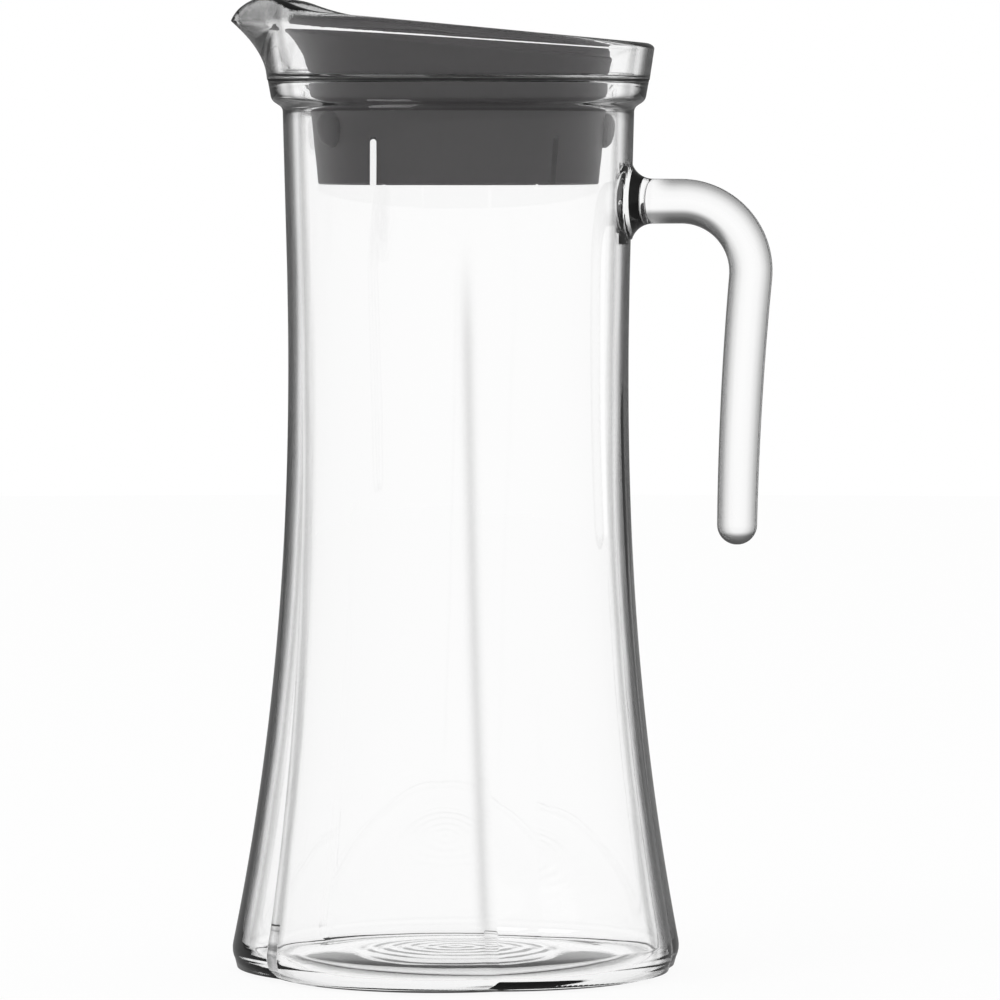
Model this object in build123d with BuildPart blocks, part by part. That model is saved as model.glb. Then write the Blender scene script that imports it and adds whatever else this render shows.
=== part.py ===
from build123d import *

import os
from math import acos, cos, pi, radians, sin, tan

# Glass pitcher with a push-in lid, in millimetres. The origin is on the jug's axis, on the surface that it
# stands on. +Z is up, the spout points to -X and the handle to +X.

# Panelled wall of the jug: five bowed panels that meet in shallow upright creases
panel_count = 5
heel_radius_out = 61.7
waist_radius = 46.0
waist_height = 168.0
wall_curve_power = 2.15
crease_depth = 3.0
crease_fade_power = 1.5
shoulder_height = 190.0
heel_round = 6.4
wall_thickness_heel = 2.9

# Bottom of the jug
floor_thickness = 4.0
floor_round = 4.6
push_up_rise = 2.2
bearing_ring_width = 10.0

# Neck and the thick collar under the rim
neck_top_radius = 47.4
collar_height = 233.3
collar_radius = 50.4
collar_underside_rise = 2.0
mould_line_height = 240.8
mould_line_radius = 51.4
mould_step = 0.15

# Rim, which slopes up towards the spout
rim_radius = 53.0
rim_height_back = 250.5
rim_slope = 5.4
rim_straight_end = 30.5
lip_turn_reach = 42.8
lip_turn_rise = 3.2
tip_reach = 62.6
tip_drop = 4.9
rim_round_out = 1.5
rim_round_in = 0.4

# Spout: how far its nose stands out of the round mouth, and its channel inside
spout_start_height = 242.6
spout_mid_height = 251.0
spout_mid_swell = 3.4
spout_swell_power = 1.83
spout_root_nose_radius = 40.0
spout_nose_radius = 13.0
spout_wall = 2.9
channel_nose_radius = 10.1

# Inside of the mouth: a straight bore, and a ledge where the wider mouth and the spout's channel begin
bore_radius = 42.8
mouth_wall = 4.2
ledge_height = 241.4
ledge_edge_round = 1.2
ledge_corner_round = 1.5

# Glass rod handle
handle_height = 208.2
handle_root_diameter = 12.2
handle_tip_diameter = 10.8
handle_bend_start = 60.3
handle_bend_radius = 18.8
handle_lean = 5.2
handle_end_reach = 75.5
handle_end_height = 121.2
handle_root_fillet = 6.0

# Plastic lid
lid_bottom_height = 213.2
lid_bottom_radius = 37.8
lid_shoulder_height = 233.0
lid_shoulder_radius = 39.8
lid_upper_radius = 40.4
flare_start_height = 240.0
flare_arc_radius = 18.9
flare_arc_angle = 48.0
flare_end_lean = 12.0
flare_blend = 1.2
lid_wall = 1.8
lid_deck = 2.2
lid_top_below_rim = 4.6
lid_edge_round = 0.7
skirt_edge_round = 0.5
grip_bar_width = 11.0
grip_well_radius = 32.0
grip_well_depth = 11.0
grip_corner_round = 5.0
slot_width = 1.7
slot_length = 12.6
slot_angles = (-117.9, -43.4, 60.0, 131.1)
button_radius = 3.25
button_height = 229.0
button_angles = (0.0, 140.0, -140.0)
button_clearance = 0.3

# Construction values
cut_overrun = 5.0
spout_headroom = 2.5
panel_angle = 2 * pi / panel_count
slope_rise = tan(radians(rim_slope))
wall_shares = (0, 0.14, 0.28, 0.43, 0.6, 0.8, 1)
spout_shares = (0, 0.15, 0.32, 0.5, 0.7, 1)
push_up_radius = heel_radius_out - heel_round - bearing_ring_width
root_radius = handle_root_diameter / 2
tip_radius = handle_tip_diameter / 2
os.makedirs("parts", exist_ok=True)


def panel_radius(height):
    """Outside radius at the middle of a panel, or of the round neck."""
    if height < waist_height:
        share = (waist_height - height) / (waist_height - heel_round)
        return waist_radius + (heel_radius_out - waist_radius) * share**wall_curve_power
    share = (height - waist_height) / (collar_height - waist_height)
    return waist_radius + (neck_top_radius - waist_radius) * share**crease_fade_power


def crease_radius(height):
    """Outside radius at a crease, which fades out where the wall turns round."""
    share = (shoulder_height - height) / (shoulder_height - heel_round)
    return panel_radius(height) - crease_depth * max(share, 0) ** crease_fade_power


def wall_thickness(height):
    """Thickness of the wall, which grows from the heel to the neck's straight bore."""
    neck_thickness = panel_radius(shoulder_height) - bore_radius
    return wall_thickness_heel + (neck_thickness - wall_thickness_heel) * height / shoulder_height


def lobed_outline(middle_radius, corner_radius):
    """Arcs that bow out between creases. One crease is under the handle."""
    for panel in range(panel_count):
        start = panel * panel_angle
        middle = start + panel_angle / 2
        end = start + panel_angle
        ThreePointArc(
            (corner_radius * cos(start), corner_radius * sin(start)),
            (middle_radius * cos(middle), middle_radius * sin(middle)),
            (corner_radius * cos(end), corner_radius * sin(end)),
        )


def wall_heights(bottom):
    """Heights of the outlines that the panelled wall passes through."""
    return [bottom + (shoulder_height - bottom) * share for share in wall_shares]


def beak_outline(round_radius, reach, nose_radius):
    """Round mouth with a nose towards -X, joined by straight sides tangent to both."""
    nose_centre = reach - nose_radius
    turn = acos((round_radius - nose_radius) / nose_centre)
    mouth = (-round_radius * cos(turn), round_radius * sin(turn))
    nose = (-nose_centre - nose_radius * cos(turn), nose_radius * sin(turn))
    ThreePointArc((mouth[0], -mouth[1]), (round_radius, 0), mouth)
    Line(mouth, nose)
    ThreePointArc(nose, (-reach, 0), (nose[0], -nose[1]))
    Line((nose[0], -nose[1]), (mouth[0], -mouth[1]))


def mouth_radius(height):
    """Outside radius of the round part of the mouth, which flares a little."""
    foot_radius = mould_line_radius + mould_step
    share = (height - mould_line_height) / (rim_height_back - mould_line_height)
    return foot_radius + (rim_radius - foot_radius) * share


def spout_reach(height):
    """How far the outside of the spout's nose is from the axis."""
    share = max(height - spout_start_height, 0) / (spout_mid_height - spout_start_height)
    return mouth_radius(height) + mould_step + spout_mid_swell * share**spout_swell_power


def nose_radius(height):
    """Radius of the spout's nose, which draws in from the wide collar."""
    share = (height - mould_line_height) / (spout_mid_height - mould_line_height)
    return spout_root_nose_radius + (spout_nose_radius - spout_root_nose_radius) * min(share, 1)


def rim_height_at(x):
    """Height of the rim's straight slope above a place along X."""
    return rim_height_back + (rim_radius - x) * slope_rise


lip_height = rim_height_at(-rim_straight_end) + lip_turn_rise
spout_top_height = lip_height + spout_headroom
flare_centre = lid_upper_radius + flare_arc_radius
flare_top = spout_top_height + cut_overrun


def flare_place(arc_radius, turn):
    """Place on the arc of the lid's flare, as radius and height."""
    return (flare_centre - arc_radius * cos(turn), flare_start_height + arc_radius * sin(turn))


def flare_outline(arc_radius):
    """The lid's flare, or the hollow in it: up the arc, then a steep line, then to the axis."""
    last_turn = radians(flare_arc_angle)
    end = flare_place(arc_radius, last_turn)
    top_radius = end[0] + (flare_top - end[1]) * tan(radians(flare_end_lean))
    ThreePointArc(flare_place(arc_radius, 0), flare_place(arc_radius, last_turn / 2), end)
    Line(end, (top_radius, flare_top))
    Line((top_radius, flare_top), (0, flare_top))


def rim_edges(body, known=()):
    """Edges where the rim's top surfaces meet a wall, without the seams between those surfaces."""
    flat_types = (GeomType.PLANE, GeomType.CYLINDER)
    tops = [face for face in body.faces() if face.geom_type in flat_types and face.center().Z > rim_height_back]
    edges = [edge for face in tops if face.normal_at().Z > cos(pi / 3) for edge in face.edges()]
    edges = [edge for edge in edges if sum(edge.is_same(other) for other in edges) == 1]
    return [edge for edge in edges if not any(edge.is_same(other) for other in known)]


def domed_floor(radius, height, depth):
    """Half profile of a shallow dome on the axis, with a straight part below it."""
    crown = (0, height + push_up_rise)
    foot = (radius, height)
    TangentArc(crown, foot, tangent=(1, 0))
    Polyline(foot, (radius, height - depth), (0, height - depth), crown)


# Outside of the neck and collar, turned from a profile on the spout's side, away from the handle's root
with BuildPart() as neck_blank:
    with BuildSketch(Plane((0, 0, 0), x_dir=(-1, 0, 0), z_dir=(0, 1, 0))):
        with BuildLine():
            shoulder = (panel_radius(shoulder_height), shoulder_height)
            between = (shoulder_height + collar_height) / 2
            ThreePointArc(shoulder, (panel_radius(between), between), (neck_top_radius, collar_height))
            Polyline(
                (neck_top_radius, collar_height),
                (collar_radius, collar_height + collar_underside_rise),
                (mould_line_radius, mould_line_height),
                (0, mould_line_height),
                (0, shoulder_height),
                shoulder,
            )
        make_face()
    revolve(axis=Axis.Z)

# Space above the rim: a straight slope that turns up into the spout's lip and over to its tip
with BuildPart() as above_rim:
    with BuildSketch(Plane.XZ):
        with BuildLine():
            back_end = rim_radius + cut_overrun
            slope_start = (back_end, rim_height_at(back_end))
            slope_end = (-rim_straight_end, rim_height_at(-rim_straight_end))
            slope = Line(slope_start, slope_end)
            lip = (-lip_turn_reach, lip_height)
            upturn = TangentArc(slope_end, lip, tangent=slope % 1)
            over = TangentArc(lip, (-tip_reach, lip_height - tip_drop), tangent=upturn % 1)
            beyond = over @ 1 + (over % 1) * tip_reach
            Line(over @ 1, beyond)
            Polyline(beyond, (beyond.X, flare_top), (back_end, flare_top), slope_start)
        make_face()
    extrude(amount=rim_radius + cut_overrun, both=True)

# Space inside the jug: the panelled cavity and the straight bore, which ends in a rounded edge at the ledge
with BuildPart() as inside:
    for height in wall_heights(floor_thickness):
        with BuildSketch(Plane.XY.offset(height)):
            with BuildLine():
                thickness = wall_thickness(height)
                lobed_outline(panel_radius(height) - thickness, crease_radius(height) - thickness)
            make_face()
    loft()
    fillet(inside.edges().group_by(Axis.Z)[0], floor_round)
    with BuildSketch(Plane.XZ):
        with BuildLine():
            edge_start = (bore_radius, ledge_height - ledge_edge_round)
            edge_end = (bore_radius + ledge_edge_round, ledge_height)
            TangentArc(edge_start, edge_end, tangent=(0, 1))
            Polyline(
                edge_end,
                (edge_end[0], ledge_height + cut_overrun),
                (0, ledge_height + cut_overrun),
                (0, shoulder_height),
                (bore_radius, shoulder_height),
                edge_start,
            )
        make_face()
    revolve(axis=Axis.Z)

# Space inside the wider mouth and the spout, which starts at the ledge
with BuildPart() as channel:
    for share in spout_shares:
        height = ledge_height + (flare_top - ledge_height) * share
        with BuildSketch(Plane.XY.offset(height)):
            with BuildLine():
                beak_outline(
                    mouth_radius(height) - mouth_wall,
                    spout_reach(height) - spout_wall,
                    channel_nose_radius,
                )
            make_face()
    loft()
    fillet(channel.edges().group_by(Axis.Z)[0], ledge_corner_round)

# Glass body: mouth and spout, neck and panelled wall, hollowed out
with BuildPart() as glass_body:
    for share in spout_shares:
        height = mould_line_height + (spout_top_height - mould_line_height) * share
        with BuildSketch(Plane.XY.offset(height)):
            with BuildLine():
                beak_outline(mouth_radius(height), spout_reach(height), nose_radius(height))
            make_face()
    loft()
    add(above_rim.part, mode=Mode.SUBTRACT)
    fillet(rim_edges(glass_body), rim_round_out)
    rounded_edges = glass_body.edges()
    add(neck_blank.part)
    for height in wall_heights(0):
        with BuildSketch(Plane.XY.offset(height)):
            with BuildLine():
                lobed_outline(panel_radius(height), crease_radius(height))
            make_face()
    loft()
    fillet(glass_body.edges().group_by(Axis.Z)[0], heel_round)
    add(inside.part, mode=Mode.SUBTRACT)
    add(channel.part, mode=Mode.SUBTRACT)
    fillet(rim_edges(glass_body, rounded_edges), rim_round_in)
    with BuildSketch(Plane.XZ):
        with BuildLine():
            domed_floor(push_up_radius, floor_thickness, floor_thickness / 2)
        make_face()
    revolve(axis=Axis.Z)
    with BuildSketch(Plane.XZ):
        with BuildLine():
            domed_floor(push_up_radius, 0, cut_overrun)
        make_face()
    revolve(axis=Axis.Z, mode=Mode.SUBTRACT)

glass_body.part.label = "glass_body"
export_step(glass_body.part, "parts/glass_body.step")

# Glass handle: a tapered rod that bends down from the neck and ends in a round tip
with BuildPart() as glass_handle:
    with BuildLine(Plane.XZ) as rod_line:
        root = (bore_radius, handle_height)
        run = Line(root, (handle_bend_start, handle_height))
        bend = JernArc(run @ 1, run % 1, handle_bend_radius, -(90 + handle_lean))
        hang = TangentArc(bend @ 1, (handle_end_reach, handle_end_height), tangent=bend % 1)
    rod_path = rod_line.wire()
    for place, radius in ((0, root_radius), (1, tip_radius)):
        with BuildSketch(Plane(rod_path @ place, z_dir=rod_path % place)):
            Circle(radius)
    sweep(path=rod_path, multisection=True)
    with Locations(rod_path @ 1):
        Sphere(tip_radius)
    add(neck_blank.part)
    weld = [edge for edge in glass_handle.edges() if abs(edge.center().Z - handle_height) < cut_overrun]
    weld = [edge for edge in weld if 0 < edge.center().X < handle_bend_start - cut_overrun]
    fillet(weld, handle_root_fillet)
    add(neck_blank.part, mode=Mode.SUBTRACT)

glass_handle.part.label = "glass_handle"
export_step(glass_handle.part, "parts/glass_handle.step")

# Lid: a tapered skirt with round buttons that press on the bore, a straight plug and a flare, under a sloped top
slope_turn = radians(rim_slope)
lid_top = Plane(
    (0, 0, rim_height_at(0) - lid_top_below_rim),
    x_dir=(cos(slope_turn), 0, -sin(slope_turn)),
    z_dir=(sin(slope_turn), 0, cos(slope_turn)),
)


def lid_profile(wall, bottom):
    """The lid's outside, or the hollow in it when a wall is taken off."""
    skirt_lean = (lid_shoulder_radius - lid_bottom_radius) / (lid_shoulder_height - lid_bottom_height)
    bottom_radius = lid_bottom_radius + (bottom - lid_bottom_height) * skirt_lean - wall
    Polyline(
        (0, flare_top),
        (0, bottom),
        (bottom_radius, bottom),
        (lid_shoulder_radius - wall, lid_shoulder_height),
        flare_place(flare_arc_radius + wall, 0),
    )
    flare_outline(flare_arc_radius + wall)


def grip_well_plan(grow):
    """Plan of two D-shaped wells with the grip bar between them, grown all round."""
    with BuildSketch(lid_top, mode=Mode.PRIVATE) as plan:
        Circle(grip_well_radius + grow)
        bar_length = 2 * (grip_well_radius + grow + cut_overrun)
        Rectangle(bar_length, grip_bar_width - 2 * grow, mode=Mode.SUBTRACT)
        fillet(plan.vertices(), grip_corner_round)
    return plan.sketch


# Hollow of the lid, open below, which leaves the deck and the walls of the wells
with BuildPart() as well_shell:
    extrude(grip_well_plan(lid_wall), amount=-grip_well_depth - lid_wall)

with BuildPart() as lid_hollow:
    with BuildSketch(Plane.XZ):
        with BuildLine():
            lid_profile(lid_wall, lid_bottom_height - cut_overrun)
        make_face()
    revolve(axis=Axis.Z)
    split(bisect_by=lid_top.offset(-lid_deck), keep=Keep.BOTTOM)
    add(well_shell.part, mode=Mode.SUBTRACT)

with BuildPart() as wells:
    extrude(grip_well_plan(0), amount=-grip_well_depth)
    floors = wells.faces().sort_by(Axis.Z)[:2]
    fillet(floors.edges(), lid_wall)

with BuildPart() as lid:
    with BuildSketch(Plane.XZ) as lid_outside:
        with BuildLine():
            lid_profile(0, lid_bottom_height)
        make_face()
        flare_end = Vector(flare_place(flare_arc_radius, radians(flare_arc_angle)))
        fillet(lid_outside.vertices().sort_by_distance(flare_end)[0], flare_blend)
    revolve(axis=Axis.Z)
    split(bisect_by=lid_top, keep=Keep.BOTTOM)
    fillet(lid.faces().filter_by(lid_top)[-1].edges(), lid_edge_round)
    for angle in button_angles:
        reach = bore_radius - button_clearance - button_radius
        with Locations((reach * cos(radians(angle)), reach * sin(radians(angle)), button_height)):
            Sphere(button_radius)
    add(lid_hollow.part, mode=Mode.SUBTRACT)
    fillet(lid.edges().group_by(Axis.Z)[0], skirt_edge_round)
    add(wells.part, mode=Mode.SUBTRACT)
    deck = lid.faces().filter_by(lid_top).sort_by(Axis.Z)[-1]
    fillet([edge for wire in deck.inner_wires() for edge in wire.edges()], lid_edge_round)
    for angle in slot_angles:
        turn = radians(angle)
        slot_plane = Plane((0, 0, 0), x_dir=(-sin(turn), cos(turn), 0), z_dir=(cos(turn), sin(turn), 0))
        with BuildSketch(slot_plane):
            round_height = lid_bottom_height + slot_length - slot_width / 2
            with Locations((0, lid_bottom_height)):
                Rectangle(slot_width, 2 * (round_height - lid_bottom_height))
            with Locations((0, round_height)):
                Circle(slot_width / 2)
        extrude(amount=lid_shoulder_radius + cut_overrun, mode=Mode.SUBTRACT)

lid.part.label = "lid"
export_step(lid.part, "parts/lid.step")
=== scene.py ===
# %% [markdown]
# # Glass pitcher with a push-in lid
# A pressed glass jug is hard to render for one reason: nearly all that the eye sees is light bent by the
# walls. So the glass needs real walls, an outside and an inside surface, and the studio needs bright and
# darker sides for the walls to bend into view.

# %% Load the fixed frame and keep its size
from math import acos, asin, atan2, cos, hypot, pi, radians, sin, sqrt, tan

import bmesh
import bpy
from mathutils import Matrix, Vector


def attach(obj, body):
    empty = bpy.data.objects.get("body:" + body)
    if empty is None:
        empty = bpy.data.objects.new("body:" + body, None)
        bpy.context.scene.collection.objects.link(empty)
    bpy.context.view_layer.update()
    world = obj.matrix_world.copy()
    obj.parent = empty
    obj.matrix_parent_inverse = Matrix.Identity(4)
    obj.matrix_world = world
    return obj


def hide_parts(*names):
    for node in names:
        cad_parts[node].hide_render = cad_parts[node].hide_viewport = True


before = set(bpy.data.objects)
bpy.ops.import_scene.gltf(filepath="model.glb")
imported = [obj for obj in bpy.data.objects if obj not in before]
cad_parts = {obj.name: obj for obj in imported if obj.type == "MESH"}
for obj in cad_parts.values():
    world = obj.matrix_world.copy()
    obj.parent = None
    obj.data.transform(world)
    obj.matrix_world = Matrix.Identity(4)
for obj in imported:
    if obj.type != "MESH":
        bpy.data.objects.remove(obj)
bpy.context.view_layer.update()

# %% [markdown]
# ## Camera
# The picture was taken from far away with a long lens: the jug's sides hardly converge, and the eye is a
# little below the rim, so the base is seen slightly from above. Distance, eye height and the place that
# the middle of the picture looks at fix such a view completely.

# %% Camera at the photograph's viewpoint
MM = 0.001
camera_distance = 1957.5
eye_height = 230.0
view_turn = radians(6.6)
aim_right = 11.2
aim_height = 127.4

right = Vector((cos(view_turn), sin(view_turn), 0))
back = Vector((sin(view_turn), -cos(view_turn), 0))
eye = (back * camera_distance + Vector((0, 0, eye_height))) * MM
aim = (right * aim_right + Vector((0, 0, aim_height))) * MM

camera_data = bpy.data.cameras.new("camera")
camera_data.sensor_width = 36.0
camera_data.lens = 261.0
camera = bpy.data.objects.new("camera", camera_data)
camera.location = eye
camera.rotation_mode = "QUATERNION"
camera.rotation_quaternion = (aim - eye).to_track_quat("-Z", "Y")
bpy.context.scene.collection.objects.link(camera)
bpy.context.scene.camera = camera
print("camera at", [round(value, 3) for value in eye])

# %% [markdown]
# ## Shader maths
# Node trees get long. This small class wraps a socket, so that a mask can be written as a sum, and its
# `node` method adds any other node.

# %% A socket that can be used in sums
class Signal:
    """An output socket of a node tree, with arithmetic."""

    def __init__(self, tree, socket):
        self.tree = tree
        self.socket = socket

    def node(self, kind, settings=None, output=0, **inputs):
        return add_node(self.tree, kind, settings, output, **inputs)

    def math(self, operation, first, second=None):
        inputs = {"input_0": first} if second is None else {"input_0": first, "input_1": second}
        return self.node("ShaderNodeMath", {"operation": operation}, **inputs)

    def __add__(self, other):
        return self.math("ADD", self, other)

    def __radd__(self, other):
        return self.math("ADD", other, self)

    def __sub__(self, other):
        return self.math("SUBTRACT", self, other)

    def __rsub__(self, other):
        return self.math("SUBTRACT", other, self)

    def __mul__(self, other):
        return self.math("MULTIPLY", self, other)

    def __rmul__(self, other):
        return self.math("MULTIPLY", other, self)

    def __truediv__(self, other):
        return self.math("DIVIDE", self, other)

    def __pow__(self, other):
        return self.math("POWER", self, other)

    def band(self, low, high):
        """0 below low, 1 above high, and a smooth step between."""
        return self.node("ShaderNodeMapRange", {"interpolation_type": "SMOOTHSTEP"}, input_0=self, input_1=low,
                         input_2=high, input_3=0.0, input_4=1.0)


def add_node(tree, kind, settings=None, output=0, **inputs):
    """Adds a node. Settings are set first, then its sockets, by name or as input_NUMBER."""
    node = tree.nodes.new(kind)
    for name, value in (settings or {}).items():
        if name == "stops":
            ramp = node.color_ramp
            while len(ramp.elements) < len(value):
                ramp.elements.new(1.0)
            for element, (place, colour) in zip(ramp.elements, value):
                element.position = place
                element.color = (*colour, 1.0)
        else:
            setattr(node, name, value)
    for name, value in inputs.items():
        key = int(name[6:]) if name.startswith("input_") else name.replace("_", " ")
        if isinstance(value, Signal):
            tree.links.new(value.socket, node.inputs[key])
        else:
            node.inputs[key].default_value = value
    return Signal(tree, node.outputs[output] if node.outputs else None)


def new_finish(name):
    """An empty material and its node tree."""
    material = bpy.data.materials.new(name)
    material.use_nodes = True
    tree = material.node_tree
    tree.nodes.clear()
    return material, tree


def finish_with(tree, shader):
    """Makes a shader the material's surface."""
    add_node(tree, "ShaderNodeOutputMaterial", Surface=shader)


def height_of(place):
    """The third number of a vector signal."""
    return place.node("ShaderNodeSeparateXYZ", output=2, input_0=place)


# %% [markdown]
# ## The jug's half section
# The real jug is pressed in a mould. Its wall could be modelled as one surface with a Solidify modifier,
# but the outside and the inside differ: the neck is bored straight and the mouth flares. A half section,
# drawn as one flat outline and spun round the axis, gives both surfaces and the floor at once.

# %% Sizes of the jug, in millimetres
panels = 5
heel_radius, waist_radius, waist_height, shoulder_height = 61.5, 46.0, 168.0, 190.0
heel_round, floor_height, push_up, push_up_radius = 6.4, 4.0, 2.2, 45.3
floor_dip, ring_radius, ring_gap, ring_depth = 1.2, 29.0, 5.2, 0.09
base_wall, crease_sink = 3.2, 3.0
foot_curve, neck_curve = 2.15, 1.5
neck_top_radius, collar_height, collar_radius = 47.4, 233.3, 50.4
mould_line_height, mould_line_radius, mould_step = 240.8, 51.4, 0.15
bore_radius, mouth_wall, spout_wall, ledge_height, ledge_round = 42.8, 4.2, 2.9, 241.4, 1.2
ledge_edge = bore_radius + ledge_round
rim_radius, rim_back, rim_slope = 53.0, 250.5, tan(radians(5.4))
middle_rim = rim_back + rim_radius * rim_slope
rim_bead, inner_round = 2.3, 1.2


def step(value, low, high):
    """0 below low, 1 above high, and a smooth step between."""
    share = min(max((value - low) / (high - low), 0.0), 1.0)
    return share * share * (3 - 2 * share)


def panel_radius(height):
    """Outside radius at the middle of a panel."""
    if height < waist_height:
        share = (waist_height - height) / (waist_height - heel_round)
        return waist_radius + (heel_radius - waist_radius) * share**foot_curve
    share = min((height - waist_height) / (collar_height - waist_height), 1.0)
    return waist_radius + (neck_top_radius - waist_radius) * share**neck_curve


def mouth_radius(height):
    """Outside radius of the round part of the mouth."""
    share = (height - mould_line_height) / (rim_back - mould_line_height)
    return mould_line_radius + mould_step + (rim_radius - mould_line_radius - mould_step) * share


def mouth_inside(height):
    """Inside radius of the round part of the mouth, above the ledge."""
    return mouth_radius(height) - mouth_wall


print("middle of the rim is", round(middle_rim, 1), "mm high")

# %% Draw the half section and round its corners
section = bmesh.new()
shoulder_radius = panel_radius(shoulder_height)
base_radius = panel_radius(0)
corners = {
    "under": (0, 0),
    "heel": (base_radius, 0),
    "shoulder": (shoulder_radius, shoulder_height),
    "neck": (neck_top_radius, collar_height),
    "collar": (collar_radius, collar_height + 2.0),
    "mould_line": (mould_line_radius, mould_line_height),
    "mould_step": (mould_line_radius + mould_step, mould_line_height + 0.05),
    "rim_outside": (mouth_radius(middle_rim), middle_rim),
    "rim_inside": (mouth_inside(middle_rim), middle_rim),
    "ledge_corner": (mouth_inside(ledge_height), ledge_height),
    "ledge_edge": (bore_radius, ledge_height),
    "bore_foot": (bore_radius, shoulder_height),
    "floor_edge": (base_radius - base_wall, floor_height),
    "floor": (0, floor_height),
}
corner_verts = {name: section.verts.new((radius, 0, height)) for name, (radius, height) in corners.items()}
section.faces.new(corner_verts.values())
rounds = {"heel": (7.5, 10), "neck": (0.9, 4), "collar": (1.0, 4), "rim_outside": (rim_bead, 8),
          "rim_inside": (inner_round, 4), "ledge_corner": (1.5, 5), "ledge_edge": (ledge_round, 5),
          "floor_edge": (5.2, 8)}
for name, (size, segments) in rounds.items():
    place = Vector((corners[name][0], 0, corners[name][1]))
    corner = min(section.verts, key=lambda vert: (vert.co - place).length)
    bmesh.ops.bevel(section, geom=[corner], offset=size, offset_type="OFFSET", segments=segments, profile=0.5,
                    affect="VERTICES", material=-1, clamp_overlap=False)
print("half section has", len(section.verts), "corners")

# %% Open the section at the axis and divide its long edges
bmesh.ops.delete(section, geom=section.faces[:], context="FACES_ONLY")
on_axis = [edge for edge in section.edges if all(vert.co.x < 0.01 for vert in edge.verts)]
bmesh.ops.delete(section, geom=on_axis, context="EDGES")
for edge in section.edges[:]:
    in_mouth = min(vert.co.z for vert in edge.verts) > collar_height - 1
    underneath = max(vert.co.z for vert in edge.verts) < 0.1
    spacing = 1.0 if in_mouth or underneath else 3.2
    cuts = round(edge.calc_length() / spacing) - 1
    if cuts > 0:
        bmesh.ops.subdivide_edges(section, edges=[edge], cuts=cuts)
print("divided half section has", len(section.verts), "vertices")

# %% Spin the section round the axis
turn_steps = 300
bmesh.ops.spin(section, geom=section.verts[:] + section.edges[:], cent=(0, 0, 0), axis=(0, 0, 1), dvec=(0, 0, 0),
               angle=2 * pi, steps=turn_steps, use_merge=True)
bmesh.ops.remove_doubles(section, verts=section.verts[:], dist=0.001)
jug = section
print("spun jug:", len(jug.faces), "faces, open edges:", sum(edge.is_boundary for edge in jug.edges))

# %% [markdown]
# ## Bowed panels and base
# The wall of the real jug narrows to a waist and has five bowed panels that meet in shallow creases. Each
# could be a patch of its own, but then the seams show in refraction. Moving the rows of the spun jug in and
# out keeps one unbroken surface. A crease lies on a column of vertices, because 300 divides by 5. The base is
# pushed up a little, with low rings under it, and its floor dips towards the wall.

# %% Where the creases run
panel_turn = 2 * pi / panels
plunger_turns = {0: 0.0, 1: 0.0, 2: -2.0, 3: 4.0, 4: -3.3}


def crease_turn(height, angle, inside):
    """How far a crease has turned from its plane: it leans a little, and the plunger's lies beside the mould's."""
    lean = 0.7 + 0.0265 * min(height, shoulder_height)
    if inside:
        place = angle / panel_turn
        before = int(place // 1)
        share = step(place - before, 0, 1)
        lean -= plunger_turns[before % panels] * (1 - share) + plunger_turns[(before + 1) % panels] * share
    return -radians(lean)


def crease_depth(height, angle):
    """How far the wall lies inside the round form at an angle: a circular bow between two creases."""
    share = max((shoulder_height - height) / (shoulder_height - heel_round), 0)
    middle = panel_radius(height)
    corner = middle - crease_sink * share**1.5
    half = pi / panels
    from_middle = (angle % (2 * half)) - half
    centre = (middle**2 - corner**2) / (2 * (middle - corner * cos(half)))
    bow = middle - centre
    return middle - centre * cos(from_middle) - sqrt(bow**2 - (centre * sin(from_middle)) ** 2)


def straight_radius(height):
    """Radius of the section's straight wall, before it is pressed in."""
    return base_radius + (shoulder_radius - base_radius) * height / shoulder_height


def wall_thickness(height):
    """Thickness of the panelled wall."""
    return base_wall + (shoulder_radius - bore_radius - base_wall) * height / shoulder_height


# %% Press the waist, the five panels and the push-up
for vert in jug.verts:
    radius, angle, height = hypot(vert.co.x, vert.co.y), atan2(vert.co.y, vert.co.x), vert.co.z
    if height < shoulder_height:
        floor_top = height > floor_height / 2 and radius < straight_radius(height) - 2.0
        inside = floor_top or radius < straight_radius(height) - wall_thickness(height) / 2 and height > floor_height
        crease = round(angle / panel_turn)
        off_crease = angle / panel_turn - crease
        gathered = 0.5 * abs(2 * off_crease) ** 1.5 * (1 if off_crease > 0 else -1)
        gather = 1 - step(height, 150.0, shoulder_height)
        turn = crease_turn(height, angle, inside)
        from_crease = panel_turn * (off_crease + (gathered - off_crease) * gather)
        new_angle = crease * panel_turn + from_crease + turn * gather
        outward = step(radius / straight_radius(height), 0.74, 0.9)
        moved = panel_radius(height) - straight_radius(height) - crease_depth(height, new_angle - turn)
        new_radius = radius + outward * moved
        lift = push_up * max(1 - (radius / push_up_radius) ** 2, 0) if height < floor_height + 0.1 else 0
        if inside:
            lift -= floor_dip * step(radius, 30.0, 56.0) * (1 - step(height, floor_height, 16.0))
        elif height < 0.1:
            ring = 1 + cos(2 * pi * radius / ring_gap)
            lift += ring_depth * ring * (1 - step(radius, ring_radius - 6, ring_radius))
        vert.co = (new_radius * cos(new_angle), new_radius * sin(new_angle), height + lift)
print("panels pressed, widest radius", round(max(hypot(v.co.x, v.co.y) for v in jug.verts), 2))

# %% [markdown]
# ## Sloped rim and spout
# The rim climbs from the handle to the spout, sweeps up into a lip and curls over to the pouring edge. The
# spout grows out of the round collar: its outline is a circle and a small nose, joined by straight sides.

# %% Heights of the rim along the jug
def arc_through(start, tangent, end):
    """Centre and radius of the arc that leaves start along tangent and passes through end."""
    across = Vector((-tangent.y, tangent.x))
    reach = end - start
    radius = reach.length_squared / (2 * reach.dot(across))
    return start + across * radius, radius


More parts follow.
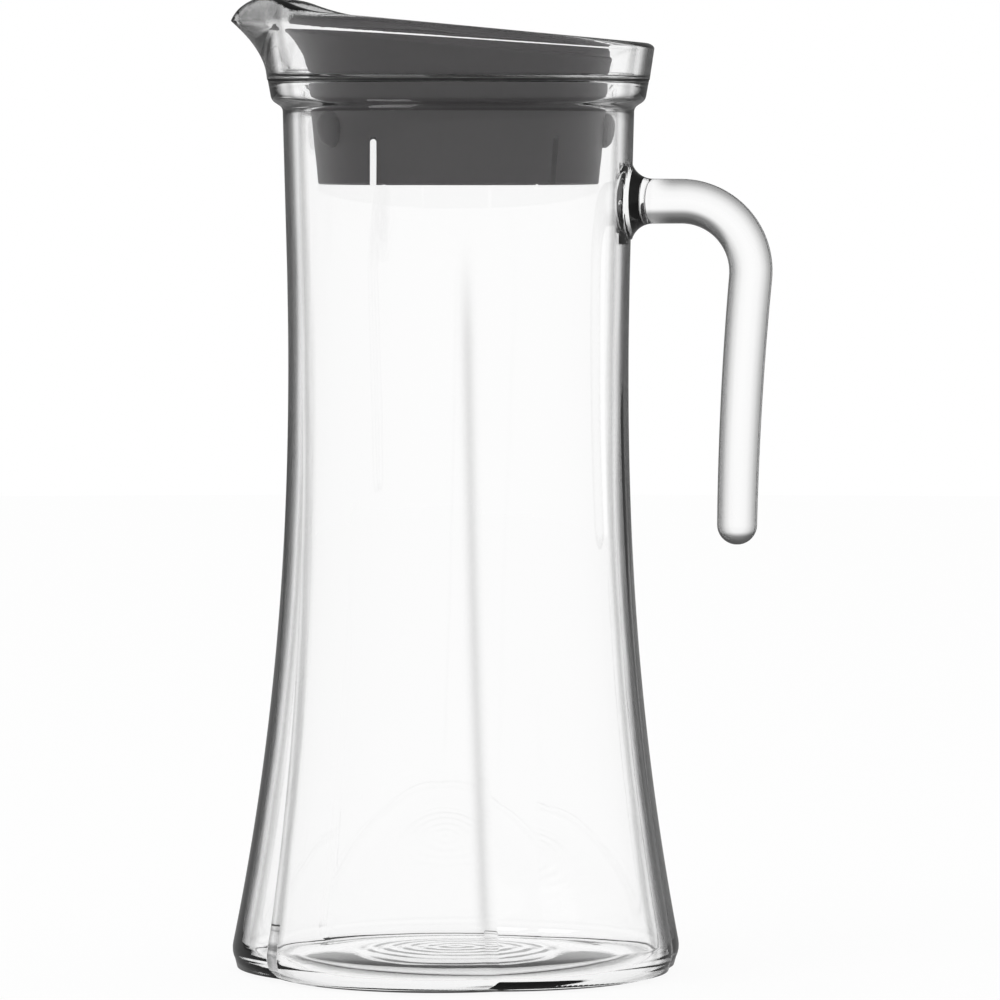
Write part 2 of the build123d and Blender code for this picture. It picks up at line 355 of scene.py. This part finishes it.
slope_end_x, lip_turn_x, lip_turn_rise = -30.5, -42.8, 3.16
parting_middle, parting_slope = 252.6, 0.066
slope_end = Vector((slope_end_x, rim_back + (rim_radius - slope_end_x) * rim_slope))
lip_turn = Vector((lip_turn_x, slope_end.y + lip_turn_rise))
tip = Vector((-62.6, 256.7))
slope_way = Vector((-1, rim_slope)).normalized()
rise_centre, rise_radius = arc_through(slope_end, slope_way, lip_turn)
spoke = (lip_turn - rise_centre).normalized()
lip_way = Vector((-spoke.y, spoke.x)) if Vector((-spoke.y, spoke.x)).x < 0 else Vector((spoke.y, -spoke.x))
over_centre, over_radius = arc_through(lip_turn, lip_way, tip)


def parting_height(x):
    """Height of the line round the mouth where the straight outside ends and the rounded lip begins."""
    return parting_middle - parting_slope * x


def rim_height(x):
    """Height of the rim's top at a place along the jug."""
    if x > slope_end.x:
        return rim_back + (rim_radius - x) * rim_slope
    if x > lip_turn.x:
        return rise_centre.y - sqrt(rise_radius**2 - (x - rise_centre.x) ** 2)
    return over_centre.y + sqrt(max(over_radius**2 - (x - over_centre.x) ** 2, 0))


print("rim heights:", [round(rim_height(x), 1) for x in (53, 0, -30, -43, -50, -56, -62.6)])

# %% Outline of the spout
spout_foot, spout_rise, spout_draw, spout_curve = 242.6, 8.4, 3.0, 1.83
nose_rise, blunt_nose, nose_narrowing, channel_nose = 10.2, 40.0, 27.0, 10.1


def beak(angle, round_radius, reach, nose_radius):
    """Radius at an angle from -X of a circle and a nose, joined by straight sides."""
    nose_centre = reach - nose_radius
    if nose_centre <= round_radius - nose_radius:
        return round_radius
    turn = acos((round_radius - nose_radius) / nose_centre)
    away = abs(angle)
    if away >= turn:
        return round_radius
    if away >= atan2(nose_radius * sin(turn), nose_centre + nose_radius * cos(turn)):
        return round_radius / cos(turn - away)
    return nose_centre * cos(away) + sqrt(nose_radius**2 - (nose_centre * sin(away)) ** 2)


def spout_reach(height):
    """How far the outside of the nose is from the axis."""
    share = max(height - spout_foot, 0) / spout_rise
    return mouth_radius(height) + mould_step + spout_draw * share**spout_curve


def outside_at(height, angle):
    """Outside radius of the mouth and spout."""
    share = min((height - mould_line_height) / nose_rise, 1)
    return beak(angle, mouth_radius(height), spout_reach(height), blunt_nose - nose_narrowing * share)


def inside_at(height, angle):
    """Inside radius of the mouth and the spout's channel."""
    return beak(angle, mouth_inside(height), spout_reach(height) - spout_wall, channel_nose)


# %% Lift the rim and draw out the spout
outer_share = 0.36
settling_rounds = 8


def lift_rim(vert):
    """Moves a vertex of the mouth: the walls stretch up to the parting line, the bead above it to the rim."""
    radius, angle, height = hypot(vert.co.x, vert.co.y), atan2(vert.co.y, vert.co.x), vert.co.z
    from_spout = atan2(vert.co.y, -vert.co.x)
    across = min(max((radius - mouth_inside(height)) / mouth_wall, 0), 1)
    outer = across > outer_share
    first = mould_line_height + 0.04 if outer else ledge_height
    rounding = rim_bead if outer else inner_round
    wall_top = middle_rim - rounding
    new_radius, new_height = radius, height
    for _ in range(settling_rounds):
        x = new_radius * cos(angle)
        drop = rim_height(x) - parting_height(x) if outer else inner_round
        if height > wall_top:
            new_height = rim_height(x) - (middle_rim - height) * drop / rounding
        else:
            new_height = first + (height - first) * (rim_height(x) - drop - first) / (wall_top - first)
        level = min(new_height, parting_height(x))
        inner, outside = inside_at(level, from_spout), outside_at(level, from_spout)
        if outer or height > wall_top:
            new_radius = inner + (outside - inner) * across
        else:
            stretch = (inner - ledge_edge) / (mouth_inside(height) - ledge_edge)
            new_radius = ledge_edge + (radius - ledge_edge) * stretch
    vert.co = (new_radius * cos(angle), new_radius * sin(angle), new_height)


lifted = 0
for vert in jug.verts:
    radius, height = hypot(vert.co.x, vert.co.y), vert.co.z
    on_outside = radius > mouth_inside(height) + mouth_wall / 2 and height > mould_line_height + 0.04
    on_ledge = height > ledge_height - 0.001 and radius > ledge_edge - 0.01
    if on_outside or on_ledge:
        lift_rim(vert)
        lifted += 1
print("moved", lifted, "vertices of the mouth; highest", round(max(v.co.z for v in jug.verts), 2))

# %% [markdown]
# ## Rod handle
# The handle is a second gob of hot glass, pressed on to the neck and bent down. A curve with a round bevel
# would give the rod, but not its soft foot, so a ring is extruded step by step along the rod's path, and
# its size follows the weld, the taper and the round tip.

# %% Path of the handle, as places and directions
rod_level, run_start, run_end, bend_radius, bend_turn = 208.2, 44.2, 60.3, 18.8, radians(95.2)
rod_end = Vector((75.5, 0, 121.2))
bend_steps, hang_steps = 28, 40
fine_until, fine_step, coarse_step = 53, 0.35, 1.1


def handle_path():
    """Places along the rod from inside the neck's wall to its tip, each with its direction."""
    places = [(Vector((run_start, 0, rod_level)), Vector((1, 0, 0)))]
    x = run_start + 1.0
    while x < run_end - 0.2:
        places.append((Vector((x, 0, rod_level)), Vector((1, 0, 0))))
        x += fine_step if x < fine_until else coarse_step
    for index in range(bend_steps + 1):
        turn = bend_turn * index / bend_steps
        place = Vector((run_end + bend_radius * sin(turn), 0, rod_level - bend_radius * (1 - cos(turn))))
        places.append((place, Vector((cos(turn), 0, -sin(turn)))))
    start, way = places[-1]
    chord = rod_end - start
    across = Vector((way.z, 0, -way.x))
    arc_radius = chord.length_squared / (2 * chord.dot(across))
    centre = start + across * arc_radius
    hang = 2 * acos(chord.dot(way) / chord.length) * (1 if arc_radius > 0 else -1)
    for index in range(1, hang_steps + 1):
        spun = Matrix.Rotation(hang * index / hang_steps, 3, "Y")
        places.append((centre + spun @ (start - centre), spun @ way))
    return places


path = handle_path()
print("handle path:", len(path), "places, ends at", [round(value, 2) for value in path[-1][0]])

# %% Extrude a ring along the path
root_radius, tip_radius, weld_round, weld_foot = 6.1, 5.4, 6.0, 4.3
ring_count = 64
wall_at_root = panel_radius(rod_level)


def rod_radius(place, share, side):
    """Radius of the rod at a place, for a point this far to the side of it (-1 to 1)."""
    radius = root_radius + (tip_radius - root_radius) * share
    if place.x > wall_at_root + weld_round or place.z < 200:
        return radius
    grown = radius
    for _ in range(4):
        from_wall = place.x - sqrt(wall_at_root**2 - (grown * side) ** 2)
        left = min(max(weld_round - from_wall, 0), weld_round)
        grown = radius + min(weld_round - sqrt(weld_round**2 - left**2), weld_foot)
    return grown


def place_ring(ring, place, way, share, shrink=1.0):
    """Puts a ring of vertices round a place, square to the rod's direction."""
    up = Vector((-way.z, 0, way.x))
    for index, vert in enumerate(ring):
        angle = 2 * pi * index / ring_count
        radius = rod_radius(place, share, cos(angle)) * shrink
        vert.co = place + (Vector((0, 1, 0)) * cos(angle) + up * sin(angle)) * radius


rod = bmesh.new()
first_ring = bmesh.ops.create_circle(rod, cap_ends=True, radius=root_radius, segments=ring_count)["verts"]
place_ring(first_ring, *path[0], 0.0)
ring = first_ring
length = sum((path[index + 1][0] - path[index][0]).length for index in range(len(path) - 1))
travelled = 0.0
tip_steps = 9
stops = [(place, way, 1.0) for place, way in path[1:]]
end_place, end_way = path[-1]
for index in range(1, tip_steps):
    turn = pi / 2 * index / tip_steps
    stops.append((end_place + end_way * tip_radius * sin(turn), end_way, cos(turn)))
last_place = path[0][0]
for place, way, shrink in stops:
    in_ring = set(ring)
    ring_edges = [edge for edge in rod.edges if in_ring.issuperset(edge.verts)]
    made = bmesh.ops.extrude_edge_only(rod, edges=ring_edges)["geom"]
    new_verts = {vert for vert in made if isinstance(vert, bmesh.types.BMVert)}
    follows = []
    for vert in ring:
        follows.append(next(edge.other_vert(vert) for edge in vert.link_edges if edge.other_vert(vert) in new_verts))
    travelled += (place - last_place).length
    last_place = place
    place_ring(follows, place, way, min(travelled / length, 1), shrink)
    ring = follows
tip_edges = [edge for edge in rod.edges if edge.is_boundary]
bmesh.ops.contextual_create(rod, geom=tip_edges)
tip_face = [face for face in rod.faces if len(face.verts) == ring_count and face.calc_center_median().z < 190]
bmesh.ops.poke(rod, faces=tip_face)
bmesh.ops.recalc_face_normals(rod, faces=rod.faces[:])
print("rod:", len(rod.faces), "faces, length", round(length, 1), "open edges:",
      sum(edge.is_boundary for edge in rod.edges))

# %% [markdown]
# ## One glass from two gobs
# Where two meshes of glass overlap, a renderer bends light at each surface, also at those that lie inside
# the glass, and the join looks like a bubble. On the real jug the handle is fused to the neck, so the two
# meshes are joined with a Boolean modifier, whose result becomes the piece's mesh.

# %% Turn a bmesh into an object, in metres
def as_object(name, mesh_code, smooth=True):
    """Writes a bmesh, made in millimetres, to a new object in metres."""
    bmesh.ops.scale(mesh_code, vec=(MM, MM, MM), verts=mesh_code.verts[:])
    mesh = bpy.data.meshes.new(name)
    mesh_code.to_mesh(mesh)
    mesh_code.free()
    mesh.polygons.foreach_set("use_smooth", [smooth] * len(mesh.polygons))
    piece = bpy.data.objects.new(name, mesh)
    bpy.context.scene.collection.objects.link(piece)
    return piece


bmesh.ops.recalc_face_normals(jug, faces=jug.faces[:])
glass = as_object("fused_glass_jug", jug)
gob = as_object("handle_gob", rod)
print("glass faces:", len(glass.data.polygons))

# %% Fuse the handle to the neck
join = glass.modifiers.new("fuse", "BOOLEAN")
join.operation, join.solver, join.object = "UNION", "EXACT", gob
bpy.context.view_layer.update()
fused = bpy.data.meshes.new_from_object(glass.evaluated_get(bpy.context.evaluated_depsgraph_get()))
glass.modifiers.clear()
glass.data = fused
bpy.data.objects.remove(gob)
check = bmesh.new()
check.from_mesh(fused)
bmesh.ops.remove_doubles(check, verts=check.verts[:], dist=0.000002)
bmesh.ops.triangulate(check, faces=[face for face in check.faces if len(face.verts) > 4])
print("fused glass:", len(check.faces), "faces, open edges:", sum(not edge.is_manifold for edge in check.edges),
      "volume in ml:", round(check.calc_volume() * 1e6, 1))
check.to_mesh(fused)
check.free()
fused.polygons.foreach_set("use_smooth", [True] * len(fused.polygons))
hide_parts("glass_body", "glass_handle")
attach(glass, "jug")

# %% [markdown]
# ## Marking the glass
# The finish paints shade into the glass's base colour, and it has to know the outside of the wall from its
# inside, and the rod from the body. Two materials would leave a seam, so three numbers are stored on the
# mesh's vertices, and the shader reads them: how much painted shade the outside takes, which side of the rod
# a point is on, and where the painted dark lines along the creases run.

# %% Store which side of the wall a vertex is on, and how much painted shade it takes
rod_fade_start, rod_fade_end = 52.5, 58.5
# Painted dark lines along the creases: their width, how high they reach and their strength on each crease.
crease_shade_width, crease_shade_top = 1.7, 202
crease_shade_weights = {0: 0.0, 1: 0.0, 2: 0.0, 3: 0.6, 4: 1.0}


def middle_of_wall(height, angle):
    """Radius halfway between the outside and the inside of the wall."""
    if height > ledge_height + 0.3:
        return (inside_at(height, pi - angle) + outside_at(height, pi - angle)) / 2
    if height > shoulder_height:
        return (bore_radius + panel_radius(height)) / 2
    outside = panel_radius(height) - crease_depth(height, angle - crease_turn(height, angle, False))
    return outside - wall_thickness(height) / 2


def rod_side(place):
    """0 on the jug's body, and on the rod 1 on the side towards the jug and 0.5 on the side away from it: the weight of
    the rod's painted shade, darker on the side towards the jug.
    """
    if place.x < rod_fade_start or abs(place.y) > 8 or place.z < 112 or place.z > 220:
        return 0.0
    near, way = min(path, key=lambda stop: (stop[0] - place).length_squared)
    off = place - near
    if off.length > root_radius + 1.2:
        return 0.0
    up = Vector((-way.z, 0, way.x))
    return (0.75 - 0.25 * off.dot(up) / max(off.length, 0.1)) * step(place.x, rod_fade_start, rod_fade_end)


marks = {name: fused.attributes.new(name, "FLOAT", "POINT") for name in ("outside", "rod", "crease")}
for index, vertex in enumerate(fused.vertices):
    place = vertex.co / MM
    radius, angle, height = hypot(place.x, place.y), atan2(place.y, place.x), place.z
    rod_part = rod_side(place)
    is_floor = radius < 52 and height < floor_height + push_up + 0.1
    outside = height < floor_height / 2 + 1.0 if is_floor else radius > middle_of_wall(height, angle)
    # The outside's weight of painted shade: weaker towards the bottom, and none on the rod.
    marks["outside"].data[index].value = 0.3 + 0.7 * step(height, 2.0, 12.0) if outside and rod_part == 0 else 0.0
    marks["rod"].data[index].value = rod_part
    # Painted shade: a dark line along each crease on the inside of the wall, fading out at the top and bottom.
    if not outside and height < crease_shade_top and not is_floor:
        off = (angle - crease_turn(height, angle, True) + pi / panels) % panel_turn - pi / panels
        fade = step(crease_shade_top - height, 0, 34) * step(height, 6.0, 22.0)
        fade *= crease_shade_weights[round(angle / panel_turn) % panels]
        marks["crease"].data[index].value = 2.718 ** -((radius * off / crease_shade_width) ** 2) * fade
print("marked", sum(value.value > 0.5 for value in marks["outside"].data), "outside vertices,",
      sum(value.value > 0 for value in marks["rod"].data), "on the rod")

# %% [markdown]
# ## Clear glass
# Clear glass is photographed against a bright field: its middle shows the white behind it, and where the
# wall turns away, it shows the dark room instead. The surroundings could be made dark, but then the jug is
# right from one side only. So that dark is painted shade: a Layer Weight node darkens the base colour of the
# turned-away part of the outside from every side. Pressed glass isn't perfectly even either: the mould leaves
# a faint wave in the panels, a line where its halves meet and a livelier texture on the curled lip, which a
# Bump node gives. The base colour also paints shade: a near-black line along the seam, faint dark lines
# along the creases and a mottled grey on the lip.

# %% Waves and texture of pressed glass, and masks for painted shade
clear_glass, tree = new_finish("clear_glass")
place = add_node(tree, "ShaderNodeTexCoord", output=3)
z = height_of(place)
collar_part = z.band(0.2325, 0.2345)
wave = place.node("ShaderNodeTexNoise", Vector=place, Scale=38.0, Detail=1.0, Roughness=0.4)
upright = place.node("ShaderNodeMapping", Vector=place, Scale=(160.0, 160.0, 14.0))
streak = place.node("ShaderNodeTexNoise", Vector=upright, Scale=1.0, Detail=3.0, Roughness=0.6)
speckle = place.node("ShaderNodeTexNoise", Vector=place, Scale=420.0, Detail=2.0, Roughness=0.55)
ripple = place.node("ShaderNodeTexNoise", Vector=place, Scale=1300.0, Detail=2.0, Roughness=0.6)
# The lip mask gives the lip's bump, and it also places a painted grey shade there.
lip_part = z.band(0.2555, 0.2575)
# Mask of the mould seam: it roughens the glass there, and it also paints a near-black shade line into the base colour.
mould_line = z.band(0.2402, 0.2404) * (1 - z.band(0.2410, 0.2412))
relief = wave * 0.3 + speckle * (collar_part * 0.03 + lip_part * 0.25) + ripple * lip_part * 0.22 + streak * 0.06
normal = relief.node("ShaderNodeBump", Strength=0.12, Distance=0.001, Height=relief)
print("glass relief:", len(tree.nodes), "nodes")

# %% Painted shade: how dark the turned-away glass gets
facing = add_node(tree, "ShaderNodeLayerWeight", output=1, Blend=0.5)
outside = add_node(tree, "ShaderNodeAttribute", {"attribute_name": "outside"}, output=2)
rod = add_node(tree, "ShaderNodeAttribute", {"attribute_name": "rod"}, output=2)
crease = add_node(tree, "ShaderNodeAttribute", {"attribute_name": "crease"}, output=2)
turned = facing + (streak - 0.5) * 0.09
wall_shade_steps = ((0.0, 1.0), (0.5, 1.0), (0.545, 0.5), (0.575, 0.42), (0.61, 0.8), (0.635, 0.6), (0.67, 0.2), (0.7, 0.06),
              (0.76, 0.01), (0.86, 0.01), (1.0, 0.04))
rod_shade_steps = ((0.0, 1.0), (0.08, 0.9), (0.17, 0.56), (0.24, 0.4), (0.33, 0.2), (0.44, 0.1), (0.6, 0.06), (1.0, 0.04))


def painted_shade_ramp(turning, steps):
    """Painted shade: a grey ramp over how far the surface turns away."""
    return turning.node("ShaderNodeValToRGB", {"stops": [(share, (tone,) * 3) for share, tone in steps]}, Fac=turning)


# Painted shade: the base colour darkens where the outside and the rod turn away, the rod more on its side towards the
# jug.
clear = painted_shade_ramp(turned, wall_shade_steps) ** outside * painted_shade_ramp(facing, rod_shade_steps) ** rod
# Painted shade: faint dark lines along the creases and a near-black line along the mould seam.
clear = clear * (1 - crease * 0.4) * (1 - mould_line * outside * 0.97)
# Painted shade: a mottled grey on the curled lip.
clear = clear * (1 - lip_part * (0.2 + ripple * 0.5))
print("glass tone:", len(tree.nodes), "nodes")

# %% Glass shader
colour = clear.node("ShaderNodeMix", {"data_type": "RGBA"}, output=2, input_0=clear, input_6=(0, 0, 0, 1),
                    input_7=(1, 1, 1, 1))
glass_shader = add_node(tree, "ShaderNodeBsdfPrincipled", Base_Color=colour, Roughness=mould_line * outside * 0.6,
                        IOR=1.5, Transmission_Weight=1.0, Normal=normal)
finish_with(tree, glass_shader)
glass.data.materials.clear()
glass.data.materials.append(clear_glass)
print("glass finish:", len(tree.nodes), "nodes")

# %% [markdown]
# ## Lid
# The CAD lid is right in its main form. Three small things show in the picture that it leaves plain: the
# buttons run out into short ribs, a low raised rim stands on the deck, and light shows through two slots in
# line. A wall of glass bends that line by about a degree, so one straight saw cut, turned by that, opens both
# walls, and the old far slot is filled. A copy of the CAD mesh is merged, and Boolean modifiers change it.

# %% Copy the CAD lid
lid_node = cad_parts["lid"]
lid_code = bmesh.new()
lid_code.from_mesh(lid_node.data)
bmesh.ops.remove_doubles(lid_code, verts=lid_code.verts[:], dist=0.000002)
bmesh.ops.scale(lid_code, vec=(1 / MM, 1 / MM, 1 / MM), verts=lid_code.verts[:])
print("lid copy:", len(lid_code.faces), "faces, open edges:", sum(not edge.is_manifold for edge in lid_code.edges))
lid = as_object("vented_push_in_lid", lid_code)

# %% Ribs that run down from the buttons
button_turns, button_place, button_height, rib_radius = (0.0, 140.0, -140.0), 39.25, 229.0, 3.24
ribs = []
for turn in button_turns:
    rib = bmesh.new()
    bmesh.ops.create_uvsphere(rib, u_segments=32, v_segments=20, radius=rib_radius)
    for vert in rib.verts:
        vert.co.y *= 1.2
        vert.co.z *= 1.9 if vert.co.z < 0 else 1.3
    bmesh.ops.translate(rib, vec=(button_place, 0, button_height), verts=rib.verts[:])
    bmesh.ops.rotate(rib, cent=(0, 0, 0), matrix=Matrix.Rotation(radians(turn), 3, "Z"), verts=rib.verts[:])
    ribs.append(as_object("rib", rib))
print("ribs:", len(ribs))

# %% Low raised rim on the deck
deck_drop, flare_foot, flare_centre, flare_round = 4.6, 240.0, 59.3, 18.9
flare_turn, flare_lean = radians(48), radians(12)


def deck_height(x):
    """Height of the lid's sloped deck."""
    return middle_rim - deck_drop - x * rim_slope


def flare_radius(height):
    """Radius of the lid's flare: an arc that bends outwards, and a straight cone above it."""
    rise = height - flare_foot
    arc_rise = flare_round * sin(flare_turn)
    if rise > arc_rise:
        return flare_centre - flare_round * cos(flare_turn) + (rise - arc_rise) * tan(flare_lean)
    return flare_centre - sqrt(flare_round**2 - max(rise, 0) ** 2)


raised = bmesh.new()
section_corners = [(0.9, -0.6), (0.9, 0.55), (1.35, 1.0), (2.3, 1.0), (2.8, 0.6), (2.8, -0.6)]
for inward, rise in section_corners:
    raised.verts.new((inward, 0, rise))
raised.faces.new(raised.verts[:])
bmesh.ops.delete(raised, geom=raised.faces[:], context="FACES_ONLY")
bmesh.ops.spin(raised, geom=raised.verts[:] + raised.edges[:], cent=(0, 0, 0), axis=(0, 0, 1), dvec=(0, 0, 0),
               angle=2 * pi, steps=180, use_merge=True)
for vert in raised.verts:
    inward, angle, rise = hypot(vert.co.x, vert.co.y), atan2(vert.co.y, vert.co.x), vert.co.z
    edge_radius = 44.0
    for _ in range(settling_rounds):
        edge_radius = flare_radius(deck_height(edge_radius * cos(angle)))
    radius = edge_radius - inward
    x = radius * cos(angle)
    full = max(parting_height(x) - 0.45 - deck_height(x), 0.12)
    vert.co = (x, radius * sin(angle), deck_height(x) + (rise if rise < 0 else rise * full))
bmesh.ops.recalc_face_normals(raised, faces=raised.faces[:])
print("raised rim:", len(raised.faces), "faces, open edges:", sum(edge.is_boundary for edge in raised.edges))
raised = as_object("raised_rim", raised)

# %% Straight saw cut through both walls of the skirt
saw = bmesh.new()
slot_aside, saw_top, saw_radius, saw_depth, saw_length = 23.0, 224.9, 0.9, 14.0, 120.0
glass_bend = radians(1.28)
slot_turn = view_turn + asin(slot_aside / camera_distance) + glass_bend
bmesh.ops.create_circle(saw, cap_ends=True, radius=saw_radius, segments=24)
bmesh.ops.rotate(saw, cent=(0, 0, 0), matrix=Matrix.Rotation(radians(90), 3, "X"), verts=saw.verts[:])
for vert in saw.verts:
    if vert.co.z < 0.01:
        vert.co.z -= saw_depth
made = bmesh.ops.extrude_face_region(saw, geom=saw.faces[:])["geom"]
bmesh.ops.translate(saw, vec=(0, saw_length, 0), verts=[item for item in made if isinstance(item, bmesh.types.BMVert)])
bmesh.ops.translate(saw, vec=(-slot_aside, -saw_length / 2, saw_top), verts=saw.verts[:])
bmesh.ops.rotate(saw, cent=(0, 0, 0), matrix=Matrix.Rotation(slot_turn, 3, "Z"), verts=saw.verts[:])
bmesh.ops.recalc_face_normals(saw, faces=saw.faces[:])
saw = as_object("saw", saw, smooth=False)
print("saw cut turned by", round(slot_turn * 180 / pi, 2), "degrees")

# %% Fill the old slot on the far side
plug_foot, plug_top, plug_width, plug_depth, plug_turn = 213.35, 226.6, 2.4, 1.78, radians(131.1)
skirt_foot, skirt_radius, skirt_rise, skirt_spread = 213.2, 37.8, 19.8, 2.0
plug = bmesh.new()
bmesh.ops.create_cube(plug, size=1.0)
for vert in plug.verts:
    height = plug_foot if vert.co.z < 0 else plug_top
    skirt_outside = skirt_radius + (height - skirt_foot) * skirt_spread / skirt_rise
    vert.co = (skirt_outside - (0.02 if vert.co.x > 0 else plug_depth), vert.co.y * plug_width, height)
bmesh.ops.rotate(plug, cent=(0, 0, 0), matrix=Matrix.Rotation(plug_turn, 3, "Z"), verts=plug.verts[:])
plug = as_object("plug", plug, smooth=False)

# %% Add and cut, then keep the result as the lid's mesh
for operation, tool in [*[("UNION", added) for added in (plug, raised, *ribs)], ("DIFFERENCE", saw)]:
    change = lid.modifiers.new(tool.name, "BOOLEAN")
    change.operation, change.solver, change.object = operation, "EXACT", tool
bpy.context.view_layer.update()
trimmed = bpy.data.meshes.new_from_object(lid.evaluated_get(bpy.context.evaluated_depsgraph_get()))
lid.modifiers.clear()
lid.data = trimmed
for tool in [plug, raised, saw, *ribs]:
    bpy.data.objects.remove(tool)
check = bmesh.new()
check.from_mesh(trimmed)
bmesh.ops.triangulate(check, faces=[face for face in check.faces if len(face.verts) > 4])
for face in check.faces:
    face.smooth = True
for edge in check.edges:
    edge.smooth = len(edge.link_faces) == 2 and edge.calc_face_angle() < radians(32)
print("trimmed lid:", len(check.faces), "faces, open edges:", sum(not edge.is_manifold for edge in check.edges),
      "volume in ml:", round(check.calc_volume() * 1e6, 2))
check.to_mesh(trimmed)
check.free()
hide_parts("lid")
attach(lid, "lid")

# %% [markdown]
# ## Lid plastic
# The lid is moulded in dark grey plastic with a satin skin. A fine noise in its roughness and bump breaks
# up the reflections as the spark-eroded mould does, and a broad one varies the colour a little.

# %% Lid finish
lid_plastic, tree = new_finish("satin_grey_plastic")
place = add_node(tree, "ShaderNodeTexCoord", output=3)
grain = place.node("ShaderNodeTexNoise", Vector=place, Scale=800.0, Detail=2.0, Roughness=0.6)
cloud = place.node("ShaderNodeTexNoise", Vector=place, Scale=45.0, Detail=2.0, Roughness=0.5)
tone = cloud.node("ShaderNodeMix", {"data_type": "RGBA"}, output=2, input_0=cloud, input_6=(0.034, 0.0305, 0.033, 1),
                  input_7=(0.046, 0.0415, 0.0445, 1))
normal = grain.node("ShaderNodeBump", Strength=0.02, Distance=0.0001, Height=grain)
plastic_shader = add_node(tree, "ShaderNodeBsdfPrincipled", Base_Color=tone, Roughness=0.42 + grain * 0.12,
                          Specular_IOR_Level=0.25, Normal=normal)
finish_with(tree, plastic_shader)
lid.data.materials.clear()
lid.data.materials.append(lid_plastic)

# %% [markdown]
# ## Floor and light
# The floor is plain and pale. It glows just enough to meet the white behind it for the eye, for
# reflections and through glass, while it still takes the jug's soft shadow.

# %% Floor
floor_code = bmesh.new()
bmesh.ops.create_circle(floor_code, cap_ends=True, radius=2500.0, segments=96, matrix=Matrix.Translation((0, 0, -0.25)))
floor = as_object("pale_floor", floor_code, smooth=False)
floor_finish, tree = new_finish("pale_floor")
place = add_node(tree, "ShaderNodeTexCoord", output=3)
fleck = place.node("ShaderNodeTexNoise", Vector=place, Scale=60.0, Detail=2.0)
pale = fleck.node("ShaderNodeMix", {"data_type": "RGBA"}, output=2, input_0=fleck, input_6=(0.88, 0.88, 0.88, 1),
                  input_7=(0.9, 0.9, 0.9, 1))
matt = add_node(tree, "ShaderNodeBsdfDiffuse", Color=pale)
seen = add_node(tree, "ShaderNodeLightPath", output="Is Camera Ray")
through = add_node(tree, "ShaderNodeLightPath", output="Is Transmission Ray")
mirrored = add_node(tree, "ShaderNodeLightPath", output="Is Glossy Ray")
white = add_node(tree, "ShaderNodeEmission", Color=(1, 1, 1, 1), Strength=1 - mirrored * (1 - through) * 0.75)
bounced = seen.math("MINIMUM", through + mirrored, 1.0) * (1 - seen)
glow = seen * 0.92 + bounced * 0.97
finish_with(tree, glow.node("ShaderNodeMixShader", input_0=glow, input_1=matt, input_2=white))
floor.data.materials.append(floor_finish)

# %% World: white behind the jug, a dark ceiling through the glass and a dim room in its reflections
world = bpy.data.worlds.new("studio")
bpy.context.scene.world = world
world.use_nodes = True
tree = world.node_tree
tree.nodes.clear()
way = add_node(tree, "ShaderNodeTexCoord", output=0)
seen = add_node(tree, "ShaderNodeLightPath", output="Is Camera Ray")
through = add_node(tree, "ShaderNodeLightPath", output="Is Transmission Ray")
mirrored = add_node(tree, "ShaderNodeLightPath", output="Is Glossy Ray")
z = height_of(way)
ceiling = z.band(0.19, 0.44)
front = way.node("ShaderNodeVectorMath", {"operation": "DOT_PRODUCT"}, output=1, input_0=way,
                 input_1=tuple(back * 0.9 + right * 0.45))
in_mirror = 0.16 + front.band(-0.3, 0.8) * 0.26
in_room = mirrored * in_mirror + (1 - mirrored) * 0.9
level = seen + (1 - seen) * (through * (1 - ceiling * 0.7) + (1 - through) * in_room)
background = add_node(tree, "ShaderNodeBackground", Color=(1, 1, 1, 1), Strength=level)
add_node(tree, "ShaderNodeOutputWorld", Surface=background)

# %% A large soft lamp over the jug
lamp_data = bpy.data.lights.new("soft_box", "AREA")
lamp_data.shape, lamp_data.size, lamp_data.size_y, lamp_data.energy = "RECTANGLE", 0.9, 0.9, 6.0
lamp = bpy.data.objects.new("soft_box", lamp_data)
lamp.location = (-0.9, -0.9, 1.3)
lamp.rotation_mode = "QUATERNION"
lamp.rotation_quaternion = (Vector((0, 0, 0.15)) - lamp.location).to_track_quat("-Z", "Y")
lamp.visible_glossy = False
bpy.context.scene.collection.objects.link(lamp)
bpy.context.scene.view_settings.view_transform = "Standard"
